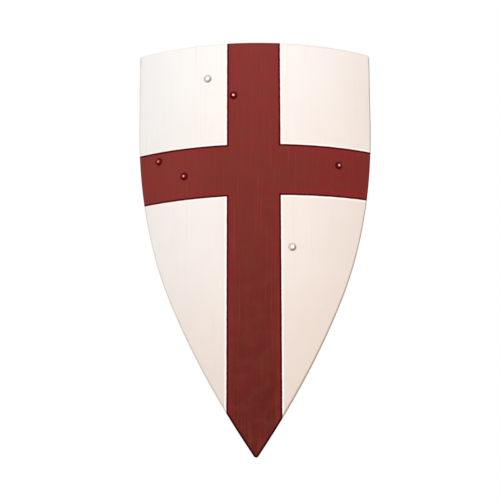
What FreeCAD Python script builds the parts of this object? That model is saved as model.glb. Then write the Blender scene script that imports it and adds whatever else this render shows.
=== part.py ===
"""A knight's heater shield of bent plywood, carried on the left arm by three leather straps.

The board is a piece of a cylinder whose axis stands upright. Its face looks along -Y, +Z is up, and the
origin is the middle of the forearm, behind the centre of the painted cross. A place on the board is given
as its distance along the curved face from the middle line, and its rise above the origin.
"""

import FreeCAD, Part
import Sketcher
import math
import os

V = FreeCAD.Vector
doc = FreeCAD.newDocument("Shield")
sheet = doc.addObject("Spreadsheet::Sheet", "Sizes")

# Driving dimensions, in millimetres and degrees
SIZES = {
    # Board
    "face_radius": 350,
    "front_ply_thickness": 2.7,
    "core_ply_thickness": 2.6,
    "back_ply_thickness": 2.7,
    "arm_standoff": 42,
    "half_width": 238.5,
    "top_rise": 244.5,
    "shoulder_rise": 108,
    "tip_drop": 518.5,
    "tip_lean_angle": 34.37,
    "upper_arc_share": 1.1145,
    "tip_round": 5,
    "corner_round": 4,
    "face_edge_round": 2.2,
    "back_edge_round": 1.2,
    # Bolts, washers and cap nuts
    "shank_diameter": 6,
    "shank_clearance": 0.1,
    "head_diameter": 14,
    "head_rim": 0.7,
    "head_height": 3.4,
    "head_bedding": 0.25,
    "neck_side": 6.4,
    "neck_length": 3.2,
    "washer_diameter": 20,
    "washer_thickness": 1.5,
    "washer_bore": 6.6,
    "washer_bedding": 0.35,
    "seat_clearance": 0.15,
    "nut_flats": 10,
    "nut_hex_height": 5,
    "nut_dome_height": 4.2,
    "nut_dome_radius": 4.6,
    "nut_bore_depth": 7.5,
    # Leather straps
    "leather_bedding": 0.3,
    "end_round_excess": 0.2,
    "grip_leather": 3.2,
    "grip_width": 30,
    "grip_foot": 11,
    "grip_bend_radius": 14,
    "grip_crown_radius": 45,
    "grip_flank": 12,
    "grip_bend_angle": 72,
    "grip_split_length": 5,
    "arm_leather": 2.6,
    "arm_width": 36,
    "arm_foot": 11,
    "arm_bend_radius": 14,
    "arm_crown_radius": 40,
    "arm_flank": 28,
    "arm_bend_angle": 80,
    "arm_split_length": 6,
    # Buckle, on the crown of the forearm strap
    "wire_diameter": 4,
    "frame_reach": 26,
    "frame_inner_width": 39,
    "frame_corner_radius": 3.3,
    "roller_clearance": 0.1,
    "roller_wall": 1,
    "roller_length": 30,
    "tongue_wire": 2.6,
    "tongue_overhang": 3.5,
    "tongue_clearance": 0.2,
    "layer_gap": 0.2,
    "heel_place": -4,
    "chape_return": 18.5,
    "chape_slot_width": 5.6,
    "chape_slot_reach": 9,
    "tail_hole_width": 5,
    "tail_hole_length": 15,
    "tail_hole_place": 4.2,
    "tail_hole_pitch": 24,
    "tail_tip_length": 26,
    "keeper_wall": 2,
    "keeper_length": 9,
    "keeper_place": -17,
    "keeper_clearance": 0.3,
    # The six bolts: place along the curved face from its middle line, and rise over the forearm
    "grip_upper_along": -88,
    "grip_upper_rise": 178,
    "grip_lower_along": -188,
    "grip_lower_rise": 29.5,
    "wrist_upper_along": -39,
    "wrist_upper_rise": 143,
    "wrist_lower_along": -134,
    "wrist_lower_rise": -5,
    "arm_upper_along": 160.5,
    "arm_upper_rise": 17,
    "arm_lower_along": 67.5,
    "arm_lower_rise": -142,
    # One overrun for every cutting tool
    "overrun": 10,
}
for row, (name, value) in enumerate(SIZES.items(), start=1):
    sheet.set(f"A{row}", name)
    sheet.set(f"B{row}", str(value))
    sheet.setAlias(f"B{row}", name)
doc.recompute()


def size(name):
    """The value of one cell of the sheet."""
    return float(sheet.get(name))


BOLTS = ("grip_upper", "grip_lower", "wrist_upper", "wrist_lower", "arm_upper", "arm_lower")

board_thickness = size("front_ply_thickness") + size("core_ply_thickness") + size("back_ply_thickness")
face_radius = size("face_radius")
inner_radius = face_radius - board_thickness
axis_y = inner_radius - size("arm_standoff")
overrun = size("overrun")


# The frame of the curved board


def outward(along):
    """Unit vector out of the face at a place along it."""
    angle = along / face_radius
    return V(math.sin(angle), -math.cos(angle), 0)


def sideways(along):
    """Unit vector along the face, towards +X."""
    angle = along / face_radius
    return V(math.cos(angle), math.sin(angle), 0)


def on_board(along, rise, radius):
    """Point at a place on the board, at a distance from the board's axis."""
    return V(0, axis_y, rise) + outward(along) * radius


def frame_placement(origin, x_dir, z_dir):
    """Placement with the given X and Z directions, made square."""
    z_dir = V(z_dir).normalize()
    y_dir = z_dir.cross(x_dir).normalize()
    x_dir = y_dir.cross(z_dir)
    matrix = FreeCAD.Matrix(
        x_dir.x, y_dir.x, z_dir.x, origin.x,
        x_dir.y, y_dir.y, z_dir.y, origin.y,
        x_dir.z, y_dir.z, z_dir.z, origin.z,
        0, 0, 0, 1,
    )
    return FreeCAD.Placement(matrix)


# Helpers for sketches whose every point is bound to the sheet


def worked_out(expression):
    """Value of an expression that uses the sheet's aliases, asked of the sheet through a scratch cell."""
    sheet.set("Z1", "=" + expression)
    sheet.recompute()
    return float(sheet.get("Z1"))


def plane_of(body, role):
    return next(f for f in body.Origin.OriginFeatures if f.Role == role)


def outline_sketch(body, name, role, points, arcs=None):
    """A closed sketch through points given as expressions; arcs maps a side's number to its centre."""
    arcs = arcs or {}
    sketch = body.newObject("Sketcher::SketchObject", name)
    sketch.AttachmentSupport = [(plane_of(body, role), "")]
    sketch.MapMode = "FlatFace"
    spots = [V(worked_out(a), worked_out(b), 0) for a, b in points]
    count = len(spots)
    for i, start in enumerate(spots):
        end = spots[(i + 1) % count]
        if i in arcs:
            centre = V(worked_out(arcs[i][0]), worked_out(arcs[i][1]), 0)
            radius = (start - centre).Length
            middle = (start + end) * 0.5 - centre
            sketch.addGeometry(Part.Arc(start, centre + middle.normalize() * radius, end), False)
        else:
            sketch.addGeometry(Part.LineSegment(start, end), False)
    starts = {}
    ends = {}
    for i in range(count):
        flipped = i in arcs and (sketch.Geometry[i].StartPoint - spots[i]).Length > (
            sketch.Geometry[i].EndPoint - spots[i]
        ).Length
        starts[i], ends[i] = (2, 1) if flipped else (1, 2)
    for i in range(count):
        following = (i + 1) % count
        sketch.addConstraint(Sketcher.Constraint("Coincident", i, ends[i], following, starts[following]))
    for i, (across, up) in enumerate(points):
        for kind, expression, value in (("DistanceX", across, spots[i].x), ("DistanceY", up, spots[i].y)):
            index = sketch.addConstraint(Sketcher.Constraint(kind, -1, 1, i, starts[i], value))
            sketch.setExpression(f"Constraints[{index}]", bound(expression))
    for i, centre in arcs.items():
        # the centre is held on the line that its points leave it, by its X place alone
        index = sketch.addConstraint(Sketcher.Constraint("DistanceX", -1, 1, i, 3, worked_out(centre[0])))
        sketch.setExpression(f"Constraints[{index}]", bound(centre[0]))
    return sketch


def bound(expression):
    """An expression with each alias written as a cell of the sheet."""
    words = sorted(SIZES, key=len, reverse=True)
    for number, word in enumerate(words):
        expression = expression.replace(word, f"@{number}@")
    for number, word in enumerate(words):
        expression = expression.replace(f"@{number}@", f"Sizes.{word}")
    return expression


def new_body(name):
    return doc.addObject("PartDesign::Body", name)


def revolve(body, sketch, kind="PartDesign::Revolution"):
    feature = body.newObject(kind, sketch.Name + "_turned")
    feature.Profile = sketch
    feature.ReferenceAxis = (sketch, ["V_Axis"])
    feature.Angle = 360
    sketch.Visibility = False
    return feature


def pad(body, sketch, length, reversed_way=False, kind="PartDesign::Pad"):
    feature = body.newObject(kind, sketch.Name + "_padded")
    feature.Profile = sketch
    feature.setExpression("Length", bound(length))
    feature.Reversed = reversed_way
    sketch.Visibility = False
    return feature


# The outline of the board


def outline_sides():
    """Right half of the outline on the unrolled face, from the top corner to the tip, as arcs and lines."""
    width = size("half_width")
    top = size("top_rise")
    corner = size("corner_round")
    shoulder = size("shoulder_rise")
    tip_round = size("tip_round")
    lean = math.radians(size("tip_lean_angle"))
    share = size("upper_arc_share")
    # Two arcs lead from the shoulder to the tip's round without a kink. They are found tip_round further in,
    # from the lengths of their tangents: the upper arc's is a share of the lower one's.
    begin = V(width - tip_round, shoulder, 0)
    finish = V(0, tip_round - size("tip_drop"), 0)
    down = V(0, -1, 0)
    leaning = V(-math.sin(lean), -math.cos(lean), 0)
    chord = finish - begin
    bow = 2 * share * (1 - math.cos(lean))
    run = chord.dot(down * share + leaning)
    lower_tangent = (math.sqrt(run**2 + bow * chord.dot(chord)) - run) / bow
    upper_tangent = share * lower_tangent
    upper_end = begin + down * upper_tangent
    lower_end = finish - leaning * lower_tangent
    joint = (upper_end * lower_tangent + lower_end * upper_tangent) * (1 / (upper_tangent + lower_tangent))
    turn = 2 * math.atan2(begin.x - joint.x, begin.y - joint.y)
    upper_radius = upper_tangent / math.tan(turn / 2)
    lower_radius = lower_tangent / math.tan((lean - turn) / 2)
    upper_centre = begin - V(upper_radius, 0, 0)
    lower_centre = joint - V(math.cos(turn), -math.sin(turn), 0) * lower_radius
    half_pi = math.pi / 2
    return [
        ("arc", V(width - corner, top - corner, 0), corner, half_pi, 0),
        ("line", V(width, top - corner, 0), V(width, shoulder, 0)),
        ("arc", upper_centre, upper_radius + tip_round, 0, -turn),
        ("arc", lower_centre, lower_radius + tip_round, -turn, -lean),
        ("arc", finish, tip_round, -lean, -half_pi),
    ]


def unrolled_points(side, steps_per_arc=9):
    """Points along one side of the outline, each with its direction and its distance along the side."""
    if side[0] == "line":
        run = side[2] - side[1]
        direction = V(run).normalize()
        return [(side[1], direction, 0), (side[2], direction, run.Length)]
    _, centre, radius, first, last = side
    found = []
    for i in range(steps_per_arc + 1):
        angle = first + (last - first) * i / steps_per_arc
        spot = centre + V(math.cos(angle), math.sin(angle), 0) * radius
        found.append((spot, V(math.sin(angle), -math.cos(angle), 0), radius * (first - angle)))
    return found


def projected_edge(side, depth, mirrored):
    """One side of the outline, thrown from the board's axis on the upright plane at that depth from it."""
    spots = []
    directions = []
    distances = []
    for spot, direction, distance in unrolled_points(side):
        angle = spot.x / face_radius
        stretch = depth / face_radius / math.cos(angle) ** 2
        spots.append(V(depth * math.tan(angle), axis_y - depth, spot.y))
        directions.append(V(direction.x * stretch, 0, direction.y))
        distances.append(distance)
    if mirrored:
        spots = [V(-p.x, p.y, p.z) for p in reversed(spots)]
        directions = [V(d.x, 0, -d.z) for d in reversed(directions)]
        distances = [distances[-1] - distance for distance in reversed(distances)]
    if side[0] == "line":
        return Part.LineSegment(spots[0], spots[-1]).toShape()
    # the same distances serve every depth, so a side meets the next without a kink all through the rim
    curve = Part.BSplineCurve()
    curve.interpolate(Points=spots, Parameters=distances, Tangents=directions,
                      TangentFlags=[True] * len(spots), Scale=False)
    return curve.toShape()


def outline_wire(depth):
    sides = outline_sides()
    right = [projected_edge(side, depth, False) for side in sides]
    left = [projected_edge(side, depth, True) for side in reversed(sides)]
    top = Part.LineSegment(left[-1].Vertexes[-1].Point, right[0].Vertexes[0].Point).toShape()
    return Part.Wire([top] + right + left)


def outline_wedge():
    """Solid whose rim runs square to the bent board all the way round: it aims at the board's axis."""
    far = face_radius + overrun
    edge_angle = size("half_width") / face_radius
    near = inner_radius * math.cos(edge_angle) - overrun
    return Part.makeLoft([outline_wire(far), outline_wire(near)], True, True)


# Cutting tools for the bolts


def bolt_frame(name, radius):
    """Placement on a bolt's axis at a distance from the board's axis, with Z out of the face."""
    along, rise = size(name + "_along"), size(name + "_rise")
    return frame_placement(on_board(along, rise, radius), sideways(along), outward(along))


def bolt_hole_tool(name):
    """Round hole for the shank, square seat for the neck and a shallow bed for the head."""
    hole_radius = size("shank_diameter") / 2 + size("shank_clearance")
    head_radius = size("head_diameter") / 2 + size("shank_clearance")
    bed = size("head_bedding")
    neck = size("neck_side")
    deep = board_thickness + overrun
    hole = Part.makeCylinder(hole_radius, deep, V(0, 0, -deep))
    seat = Part.makeBox(neck, neck, size("neck_length"), V(-neck / 2, -neck / 2, -bed - size("neck_length")))
    head = Part.makeCylinder(head_radius, bed + overrun, V(0, 0, -bed))
    tool = hole.fuse(seat).fuse(head)
    tool.Placement = bolt_frame(name, face_radius)
    return tool


# The three plies

wedge = doc.addObject("Part::Feature", "outline_wedge")
wedge.Shape = outline_wedge()
bolt_holes = doc.addObject("Part::Feature", "bolt_holes")
bolt_holes.Shape = Part.makeCompound([bolt_hole_tool(name) for name in BOLTS])


def drum(name, radius_expression):
    """A full cylinder round the board's axis."""
    solid = doc.addObject("Part::Cylinder", name)
    solid.setExpression("Radius", bound(radius_expression))
    solid.setExpression("Height", bound("top_rise + tip_drop + 2 * overrun"))
    solid.setExpression("Placement.Base.y", bound(
        "face_radius - front_ply_thickness - core_ply_thickness - back_ply_thickness - arm_standoff"))
    solid.setExpression("Placement.Base.z", bound("-tip_drop - overrun"))
    return solid


def ply(name, outer_expression, inner_expression, round_name=None, outer_face=True):
    """One bent sheet: a shell between two drums, cut to the outline and drilled."""
    tube = doc.addObject("Part::Cut", name + "_tube")
    tube.Base = drum(name + "_outer", outer_expression)
    tube.Tool = drum(name + "_inner", inner_expression)
    blank = doc.addObject("Part::Common", name + "_blank")
    blank.Base = tube
    blank.Tool = wedge
    doc.recompute()
    source = blank
    if round_name:
        radius = worked_out(outer_expression if outer_face else inner_expression)
        rounded = doc.addObject("Part::Fillet", name + "_rounded")
        rounded.Base = blank
        value = size(round_name)
        rounded.Edges = [(number, value, value) for number in rim_edges(blank.Shape, radius)]
        doc.recompute()
        source = rounded
    drilled = doc.addObject("Part::Cut", name)
    drilled.Base = source
    drilled.Tool = bolt_holes
    return drilled


def rim_edges(shape, radius):
    """Numbers of the edges that bound the curved face at that distance from the board's axis."""
    probe_shares = (0.1, 0.5, 0.9)
    near_share = 0.01
    numbers = []
    for number, edge in enumerate(shape.Edges, start=1):
        first, last = edge.FirstParameter, edge.LastParameter
        spots = [edge.valueAt(first + (last - first) * share) for share in probe_shares]
        if all(abs(math.hypot(p.x, p.y - axis_y) - radius) < near_share * board_thickness for p in spots):
            numbers.append(number)
    return numbers


face_minus_front = "face_radius - front_ply_thickness"
face_minus_core = "face_radius - front_ply_thickness - core_ply_thickness"
back_face = "face_radius - front_ply_thickness - core_ply_thickness - back_ply_thickness"
parts = [
    ply("front_ply", "face_radius", face_minus_front, "face_edge_round"),
    ply("core_ply", face_minus_front, face_minus_core),
    ply("back_ply", face_minus_core, back_face, "back_edge_round", outer_face=False),
]


# Bolts, washers and cap nuts


def bolt(name, leather):
    """Domed bolt with a square neck, drawn from the underside of its head, Z out of the face."""
    body = new_body("bolt_" + name)
    tail = f"{leather} + washer_thickness - washer_bedding + nut_bore_depth - shank_clearance"
    length = ("front_ply_thickness + core_ply_thickness + back_ply_thickness - head_bedding "
              f"- leather_bedding + {tail}")
    rim = "head_diameter / 2"
    # the dome is the cap of a sphere through the rim and the crown of the head
    cap = "(head_height - head_rim)"
    dome_centre = f"head_rim + {cap} / 2 - (head_diameter / 2) ^ 2 / (2 * {cap})"
    profile = outline_sketch(body, f"bolt_{name}_profile", "XZ_Plane", [
        ("0", f"-({length})"), ("shank_diameter / 2", f"-({length})"), ("shank_diameter / 2", "0"),
        (rim, "0"), (rim, "head_rim"), ("0", "head_height"),
    ], arcs={4: ("0", dome_centre)})
    revolve(body, profile)
    half = "neck_side / 2"
    neck = outline_sketch(body, f"bolt_{name}_neck", "XY_Plane", [
        (f"-{half}", f"-{half}"), (half, f"-{half}"), (half, half), (f"-{half}", half),
    ])
    pad(body, neck, "neck_length", reversed_way=True)
    body.Placement = bolt_frame(name, face_radius - size("head_bedding"))
    return body


def washer(name, leather):
    """Flat ring, pressed a little into the leather; its Z points away from the board."""
    body = new_body("washer_" + name)
    ring = outline_sketch(body, f"washer_{name}_section", "XZ_Plane", [
        ("washer_bore / 2", "0"), ("washer_diameter / 2", "0"),
        ("washer_diameter / 2", "washer_thickness"), ("washer_bore / 2", "washer_thickness"),
    ])
    revolve(body, ring)
    body.Placement = seat_frame(name, leather)
    return body


def seat_frame(name, leather, lift=0):
    """Placement on the leather under a washer, with Z pointing away from the board."""
    along, rise = size(name + "_along"), size(name + "_rise")
    height = size(leather) - size("leather_bedding") - size("washer_bedding") + lift
    return frame_placement(on_board(along, rise, inner_radius - height), sideways(along), -outward(along))


def cap_nut(name, leather):
    """Hexagon with a dome over it and a blind bore for the bolt's end."""
    body = new_body("cap_nut_" + name)
    corner = "nut_flats / 2 / cos(30)"
    hexagon = outline_sketch(body, f"nut_{name}_hexagon", "XY_Plane", [
        (f"{corner} * cos({turn})", f"{corner} * sin({turn})") for turn in range(0, 360, 60)
    ])
    pad(body, hexagon, "nut_hex_height")
    dome_centre = ("nut_hex_height + nut_dome_height / 2 "
                   "- nut_dome_radius ^ 2 / (2 * nut_dome_height)")
    dome = outline_sketch(body, f"nut_{name}_dome", "XZ_Plane", [
        ("0", "nut_hex_height / 2"), ("nut_dome_radius", "nut_hex_height / 2"),
        ("nut_dome_radius", "nut_hex_height"), ("0", "nut_hex_height + nut_dome_height"),
    ], arcs={2: ("0", dome_centre)})
    revolve(body, dome)
    bore = outline_sketch(body, f"nut_{name}_bore", "XZ_Plane", [
        ("0", "-overrun"), ("shank_diameter / 2", "-overrun"),
        ("shank_diameter / 2", "nut_bore_depth"), ("0", "nut_bore_depth"),
    ])
    revolve(body, bore, "PartDesign::Groove")
    body.Placement = seat_frame(name, leather, size("washer_thickness"))
    return body


for name in BOLTS:
    leather = "arm_leather" if name.startswith("arm") else "grip_leather"
    parts += [bolt(name, leather), washer(name, leather), cap_nut(name, leather)]


# Leather strips, made by joining oblong sections along a line


class Spot:
    """A section of a strip: its centre, its direction of travel and its width direction."""

    def __init__(self, centre, travel, width_dir):
        self.centre = centre
        self.travel = V(travel).normalize()
        square = width_dir - self.travel * width_dir.dot(self.travel)
        self.width_dir = square.normalize()
        self.up = self.travel.cross(self.width_dir)

    def section(self, width, thickness):
        across = self.width_dir * (width / 2)
        up = self.up * (thickness / 2)
        c = self.centre
        return Part.makePolygon([c - across - up, c + across - up, c + across + up, c - across + up,
                                 c - across - up])


def strip(spots, width, thickness):
    """Straight-ruled from section to section: a smooth skin through so many swings wide of them."""
    return Part.makeLoft([spot.section(width, thickness) for spot in spots], True, True)


class StrapLine:
    """The line of a strap over the board, from its upper bolt to its lower one."""

    def __init__(self, key, kind):
        self.first = V(size(key + "_upper_along"), size(key + "_upper_rise"), 0)
        self.last = V(size(key + "_lower_along"), size(key + "_lower_rise"), 0)
        self.span = (self.last - self.first).Length
        self.course = (self.last - self.first).normalize()
        self.thickness = size(kind + "_leather")
        self.width = size(kind + "_width")
        self.foot = size(kind + "_foot")
        self.bend = size(kind + "_bend_radius")
        self.crown = size(kind + "_crown_radius")
        self.flank = size(kind + "_flank")
        self.turn = math.radians(size(kind + "_bend_angle"))
        self.split = size(kind + "_split_length")

    def spot(self, travelled, height, slope):
        """Section at a distance along the board from the upper bolt, at a height over the back face."""
        place = self.first + self.course * travelled
        radius = inner_radius - height
        side, out = sideways(place.x), outward(place.x)
        flat = side * (self.course.x * radius / face_radius) + V(0, 0, self.course.y)
        travel = flat * math.cos(slope) - out * math.sin(slope)
        width_dir = side * self.course.y - V(0, 0, self.course.x)
        return Spot(on_board(place.x, place.y, radius), travel, width_dir)

    def rise_profile(self, flank):
        """Half of the arch as (distance, height, slope): the strap's end, the cut below it and the crown."""
        base = self.thickness / 2 - size("leather_bedding")
        foot = [(d, base, 0) for d in (-self.width / 2, 0, self.foot)]
        sin, cos = math.sin(self.turn), math.cos(self.turn)
        steps = 12
        bend = []
        for i in range(1, steps + 1):
            angle = self.turn * i / steps
            bend.append((self.foot + self.bend * math.sin(angle),
                         base + self.bend * (1 - math.cos(angle)), angle))
        x, h, _ = bend[-1]
        split = (x + self.split * cos, h + self.split * sin, self.turn)
        x, h = x + flank * cos, h + flank * sin
        crown = [(x, h, self.turn)]
        for i in range(1, steps + 1):
            angle = self.turn * (1 - i / steps)
            crown.append((x + self.crown * (sin - math.sin(angle)),
                          h + self.crown * (math.cos(angle) - cos), angle))
        return foot + bend, split, crown

    def upper(self, profile):
        return [self.spot(d, h, a) for d, h, a in profile]

    def lower(self, profile):
        return [self.spot(self.span - d, h, -a) for d, h, a in reversed(profile)]


def dressed_end(solid, name, leather, width):
    """A strap's end: round about its bolt, bedded on the board, drilled, and dished for the washer."""
    tall = board_thickness + overrun
    free_space = Part.makeCylinder(inner_radius, size("top_rise") + size("tip_drop"),
                                   V(0, axis_y, -size("tip_drop")))
    solid = solid.common(free_space)
    base = bolt_frame(name, inner_radius)
    end_direction = (size_pair(name) - size_pair(other_end(name))).normalize()
    along = sideways(size(name + "_along"))
    towards_end = along * end_direction.x + V(0, 0, end_direction.y)
    frame = frame_placement(base.Base, towards_end, -outward(size(name + "_along")))
    block = Part.makeBox(width, 2 * width, 2 * tall, V(0, -width, -tall))
    # a little wider than the strap, so that the round crosses its sides and isn't tangent to them
    round_end = Part.makeCylinder(width / 2 + size("end_round_excess"), 4 * tall, V(0, 0, -2 * tall))
    corners = block.cut(round_end)
    corners.Placement = frame
    hole = Part.makeCylinder(size("washer_bore") / 2, 2 * tall, V(0, 0, -tall))
    hole.Placement = frame
    dish = Part.makeCylinder(size("washer_diameter") / 2 + size("seat_clearance"), tall)
    dish.Placement = seat_frame(name, leather)
    return solid.cut(corners).cut(hole).cut(dish)


def size_pair(name):
    return V(size(name + "_along"), size(name + "_rise"), 0)


def other_end(name):
    return name.replace("upper", "lower") if "upper" in name else name.replace("lower", "upper")


def feature(name, shape):
    made = doc.addObject("Part::Feature", name)
    made.Shape = shape
    return made


def plain_strap(key):
    """A hand strap: two ends held by bolts and the loop between them."""
    line = StrapLine(key, "grip")
    ends, split, crown = line.rise_profile(line.flank)
    made = []
    for end, spots in (("upper", line.upper(ends + [split])), ("lower", line.lower(ends + [split]))):
        solid = strip(spots, line.width, line.thickness)
        name = f"{key}_{end}"
        made.append(feature(f"{key}_strap_{end}_end",
                            dressed_end(solid, name, "grip_leather", line.width)))
    loop = line.upper([split] + crown) + line.lower([split] + crown)
    made.append(feature(f"{key}_strap_loop", strip(loop, line.width, line.thickness)))
    return made


parts += plain_strap("grip") + plain_strap("wrist")


# The forearm strap: two leathers joined by a buckle on the crown

arm_line = StrapLine("arm", "arm")
leather = arm_line.thickness
wire = size("wire_diameter")
gap = size("layer_gap")
bar_height = -(leather + gap) / 2
wrap_radius = (wire + leather) / 2 + gap / 2
tail_height = bar_height + wrap_radius + leather + gap
roller_radius = wire / 2 + size("roller_clearance") + size("roller_wall")
roller_height = tail_height + leather / 2 + gap + roller_radius
frame_tilt = math.asin((roller_height - bar_height) / size("frame_reach"))
roller_place = size("frame_reach") * math.cos(frame_tilt)

arm_ends, arm_split, arm_crown = arm_line.rise_profile(arm_line.flank)
tail_flank = arm_line.flank + tail_height / math.sin(arm_line.turn)
tail_ends, tail_split, tail_crown = arm_line.rise_profile(tail_flank)
crown_height = arm_crown[-1][1]
crown_spot = arm_line.spot(arm_line.span / 2, crown_height, 0)
heel = crown_spot.centre + crown_spot.travel * size("heel_place")
crown_frame = frame_placement(heel, crown_spot.travel, crown_spot.up)
crown_start = arm_crown[-1][0] - arm_line.span / 2 - size("heel_place")
crown_finish = -arm_crown[-1][0] + arm_line.span / 2 - size("heel_place")


def crown_section(x, z, slope):
    """Section at a place in the buckle's own frame: X towards the lower bolt, Z away from the arm."""
    centre = crown_frame.multVec(V(x, 0, z))
    travel = crown_frame.Rotation.multVec(V(math.cos(slope), 0, math.sin(slope)))
    return Spot(centre, travel, crown_spot.width_dir)


def chape_sections():
    """The buckle-side leather from the crown's start, over the heel bar and back under itself."""
    lead = size("chape_slot_reach")
    swell = wrap_radius + bar_height
    found = [crown_section(x, 0, 0) for x in (crown_start, crown_start / 2 - lead / 2, -lead)]
    found.append(crown_section(-lead / 2, swell / 2, math.atan(2 * swell / lead)))
    steps = 18
    for i in range(steps + 1):
        turn = math.pi * i / steps
        found.append(crown_section(wrap_radius * math.sin(turn), bar_height + wrap_radius * math.cos(turn),
                                   -turn))
    back = 2 * bar_height
    found.append(crown_section(-lead / 2, back - swell / 2, math.pi - math.atan(2 * swell / lead)))
    found += [crown_section(x, back, math.pi) for x in (-lead, -size("chape_return"))]
    return found


def cut_slot(solid, centre_x, length, width, low, high):
    """Cuts an oblong hole, long way along the strap, in the buckle's frame."""
    straight = length - width
    middle = Part.makeBox(straight, width, high - low, V(centre_x - straight / 2, -width / 2, low))
    for side in (-1, 1):
        round_end = Part.makeCylinder(width / 2, high - low, V(centre_x + side * straight / 2, 0, low))
        middle = middle.fuse(round_end)
    middle.Placement = crown_frame
    return solid.cut(middle)


buckle_upper = strip(arm_line.upper(arm_ends + [arm_split]), arm_line.width, leather)
parts.append(feature("arm_strap_upper_end",
                     dressed_end(buckle_upper, "arm_upper", "arm_leather", arm_line.width)))
buckle_side = strip(arm_line.upper([arm_split] + arm_crown[:-1]) + chape_sections(), arm_line.width, leather)
slot_width = size("chape_slot_width")
slot_reach = size("chape_slot_reach")
slot = Part.makeBox(slot_reach + 2 * wrap_radius, slot_width, 4 * wrap_radius,
                    V(-slot_reach, -slot_width / 2, bar_height - 2 * wrap_radius))
slot.Placement = crown_frame
parts.append(feature("arm_strap_buckle_side", buckle_side.cut(slot)))

tail_lower = strip(arm_line.lower(tail_ends + [tail_split]), arm_line.width, leather)
parts.append(feature("arm_strap_lower_end",
                     dressed_end(tail_lower, "arm_lower", "arm_leather", arm_line.width)))


rest = leather + gap
slope_middle = size("keeper_place") / 2


def tail_sections():
    """The tail from the crown's end, under the roller, over the heel bar and down along the crown."""
    found = [crown_section(x, tail_height, math.pi) for x in (crown_finish, roller_place, 0)]
    # a bend and its counterbend are steeper in the middle than on the whole
    steeper_share = 1.5
    slope = steeper_share * math.atan((tail_height - rest) / size("keeper_place"))
    found.append(crown_section(slope_middle, (tail_height + rest) / 2, math.pi - slope))
    found.append(crown_section(crown_start, rest, math.pi))
    steps = 6
    for i in range(1, steps + 1):
        found.append(tail_over_chape(size("tail_tip_length") * i / steps, rest + gap * i))
    return found


def tail_over_chape(past_crown, lift):
    """Section of the tail on the outside of the chape, so far past the start of the crown."""
    turn = past_crown / (arm_line.crown + lift)
    start, height, _ = arm_crown[-1]
    under = arm_line.spot(start - arm_line.crown * math.sin(turn),
                          height - arm_line.crown * (1 - math.cos(turn)), turn)
    return Spot(under.centre + under.up * lift, -under.travel, under.width_dir)


def tip_corners():
    """What is cut away to round the tail's end."""
    tip = crown_frame.inverse().multVec(tail_sections()[-1].centre).x
    half = arm_line.width / 2
    deep = size("tail_tip_length") + arm_line.crown
    block = Part.makeBox(half + overrun, 4 * half, 2 * deep, V(tip - overrun, -2 * half, -deep))
    block = block.cut(Part.makeCylinder(half, 2 * deep, V(tip + half, 0, -deep)))
    block.Placement = crown_frame
    return block


tail_start = [arm_line.spot(arm_line.span - d, h, -a) for d, h, a in [tail_split] + tail_crown[:-1]]
tail_start = [Spot(spot.centre, -spot.travel, spot.width_dir) for spot in tail_start]
tail = strip(tail_start + tail_sections(), arm_line.width, leather)
hole_width = size("tail_hole_width")
hole_length = size("tail_hole_length")
tongue_radius = size("tongue_wire") / 2
for step in (-1, 0, 1):
    tail = cut_slot(tail, size("tail_hole_place") + step * size("tail_hole_pitch"), hole_length, hole_width,
                    leather / 2 + gap / 2, tail_height + 2 * leather)
parts.append(feature("arm_strap_tail", tail.cut(tip_corners())))

frame_rotation = FreeCAD.Placement(V(0, 0, bar_height),
                                   FreeCAD.Rotation(V(0, 1, 0), -math.degrees(frame_tilt)))
buckle_placement = crown_frame.multiply(frame_rotation)


def wire_ring():
    """The buckle's frame: one wire bent into an oblong with round corners, its heel bar on the Y axis."""
    half = (size("frame_inner_width") + wire) / 2
    reach = size("frame_reach")
    bend = size("frame_corner_radius")
    corners = [V(0, -half, 0), V(reach, -half, 0), V(reach, half, 0), V(0, half, 0)]
    edges = []
    for i, corner in enumerate(corners):
        to_last = (corners[i - 1] - corner).normalize()
        to_next = (corners[(i + 1) % 4] - corner).normalize()
        centre = corner + (to_last + to_next) * bend
        middle = centre - (to_last + to_next).normalize() * bend
        arc = Part.Arc(corner + to_last * bend, middle, corner + to_next * bend)
        following = corners[(i + 1) % 4]
        edges.append(arc.toShape())
        edges.append(Part.LineSegment(corner + to_next * bend, following - to_next * bend).toShape())
    section = Part.Wire(Part.Circle(V(reach / 2, -half, 0), V(1, 0, 0), wire / 2).toShape())
    order = edges[1:] + edges[:1]
    return Part.Wire(order).makePipeShell([section], True, False)


def tongue_shape():
    """A ring loosely round the heel bar and a straight rod that lies over the roller."""
    ring_radius = wire / 2 + size("tongue_clearance") + tongue_radius
    rest_radius = roller_radius + size("tongue_clearance") + tongue_radius
    lean = math.asin((rest_radius - ring_radius) / size("frame_reach"))
    ring = Part.makeTorus(ring_radius, tongue_radius, V(0, 0, 0), V(0, 1, 0))
    begin = V(-math.sin(lean), 0, math.cos(lean)) * ring_radius
    course = V(math.cos(lean), 0, math.sin(lean))
    length = size("frame_reach") * math.cos(lean) + size("tongue_overhang")
    rod = Part.makeCylinder(tongue_radius, length, begin, course)
    tip = Part.makeSphere(tongue_radius, begin + course * length)
    return ring.fuse(rod).fuse(tip)


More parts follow.
